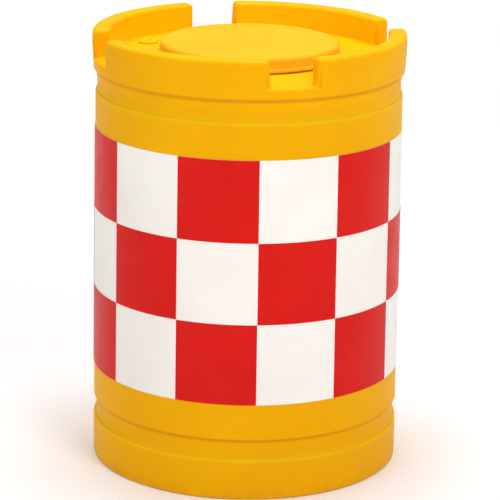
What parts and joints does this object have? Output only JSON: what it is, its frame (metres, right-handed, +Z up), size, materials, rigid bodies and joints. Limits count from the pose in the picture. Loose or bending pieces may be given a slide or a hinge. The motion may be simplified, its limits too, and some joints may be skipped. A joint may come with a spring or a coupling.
{
  "type": "traffic barrel drum",
  "caption": "Round plastic road drum with a castellated crown lid, raised centre hatch, checker reflective sheeting and water bags inside.",
  "frame": {"origin": "middle of the base, on the ground", "axes": "+Z up along the drum's axis; -Y is the front, +X is to the right seen from the front"},
  "size_m": [0.5978, 0.5978, 0.84],
  "materials": {
    "drum_yellow": "semi-gloss moulded polyethylene, fine orange-peel",
    "hatch_yellow": "satin moulded polyethylene",
    "sheet_white": "retroreflective film, smooth",
    "sheet_red": "retroreflective film, smooth",
    "bag_film": "milky soft film over water",
    "fitting_white": "moulded",
    "cap_blue": "moulded, ribbed grip",
    "lock_yellow": "injection moulded, satin",
    "seal_rubber": "matt natural rubber",
    "zinc_steel": "zinc plated"
  },
  "bodies": {
    "drum": {"drum_body": "drum_yellow", "lower_water_bag": "bag_film", "upper_water_bag": "bag_film", "lower_bag_spout": "fitting_white", "upper_bag_spout": "fitting_white", "white_sheeting": "sheet_white", "red_panel_1_2": "sheet_red", "red_panel_1_4": "sheet_red", "red_panel_1_6": "sheet_red", "red_panel_1_8": "sheet_red", "red_panel_1_10": "sheet_red", "red_panel_1_12": "sheet_red", "red_panel_2_1": "sheet_red", "red_panel_2_3": "sheet_red", "red_panel_2_5": "sheet_red", "red_panel_2_7": "sheet_red", "red_panel_2_9": "sheet_red", "red_panel_2_11": "sheet_red", "red_panel_3_2": "sheet_red", "red_panel_3_4": "sheet_red", "red_panel_3_6": "sheet_red", "red_panel_3_8": "sheet_red", "red_panel_3_10": "sheet_red", "red_panel_3_12": "sheet_red"},
    "lid": {"crown_lid": "drum_yellow"},
    "hatch": {"hatch_lid": "hatch_yellow", "hatch_seal": "seal_rubber"},
    "lock_1": {"lid_lock_head_1": "lock_yellow", "lid_lock_cam_1": "zinc_steel", "lid_lock_nut_1": "zinc_steel"},
    "lock_2": {"lid_lock_head_2": "lock_yellow", "lid_lock_cam_2": "zinc_steel", "lid_lock_nut_2": "zinc_steel"},
    "lock_3": {"lid_lock_head_3": "lock_yellow", "lid_lock_cam_3": "zinc_steel", "lid_lock_nut_3": "zinc_steel"},
    "lock_4": {"lid_lock_head_4": "lock_yellow", "lid_lock_cam_4": "zinc_steel", "lid_lock_nut_4": "zinc_steel"},
    "lower_seal": {"lower_bag_cap_seal": "seal_rubber"},
    "lower_cap": {"lower_bag_cap": "cap_blue"},
    "upper_seal": {"upper_bag_cap_seal": "seal_rubber"},
    "upper_cap": {"upper_bag_cap": "cap_blue"}
  },
  "joints": [
    {"name": "lid_lift", "type": "slide", "parent": "drum", "child": "lid", "axis": [0, 0, 1], "range_m": [0, 0.35]},
    {"name": "hatch_lift", "type": "slide", "parent": "lid", "child": "hatch", "axis": [0, 0, 1], "range_m": [0, 0.3]},
    {"name": "lock_turn_1", "type": "hinge", "parent": "lid", "child": "lock_1", "pos_m": [0.19766, -0.10957, 0.789], "axis": [0, 0, 1], "range_deg": [-90, 0]},
    {"name": "lock_turn_2", "type": "hinge", "parent": "lid", "child": "lock_2", "pos_m": [0.10957, 0.19766, 0.789], "axis": [0, 0, 1], "range_deg": [-90, 0]},
    {"name": "lock_turn_3", "type": "hinge", "parent": "lid", "child": "lock_3", "pos_m": [-0.19766, 0.10957, 0.789], "axis": [0, 0, 1], "range_deg": [-90, 0]},
    {"name": "lock_turn_4", "type": "hinge", "parent": "lid", "child": "lock_4", "pos_m": [-0.10957, -0.19766, 0.789], "axis": [0, 0, 1], "range_deg": [-90, 0]},
    {"name": "lower_cap_rise", "type": "slide", "parent": "drum", "child": "lower_seal", "axis": [0, 0, 1], "range_m": [0, 0.008]},
    {"name": "lower_cap_turn", "type": "hinge", "parent": "lower_seal", "child": "lower_cap", "pos_m": [0, 0, 0.3626], "axis": [0, 0, 1], "range_deg": [0, 720]},
    {"name": "upper_cap_rise", "type": "slide", "parent": "drum", "child": "upper_seal", "axis": [0, 0, 1], "range_m": [0, 0.008]},
    {"name": "upper_cap_turn", "type": "hinge", "parent": "upper_seal", "child": "upper_cap", "pos_m": [0, 0, 0.7596], "axis": [0, 0, 1], "range_deg": [0, 720]}
  ],
  "couplings": [
    {"joint": "lower_cap_rise", "follows": "lower_cap_turn", "m_per_rad": 0.00063662},
    {"joint": "upper_cap_rise", "follows": "upper_cap_turn", "m_per_rad": 0.00063662}
  ]
}
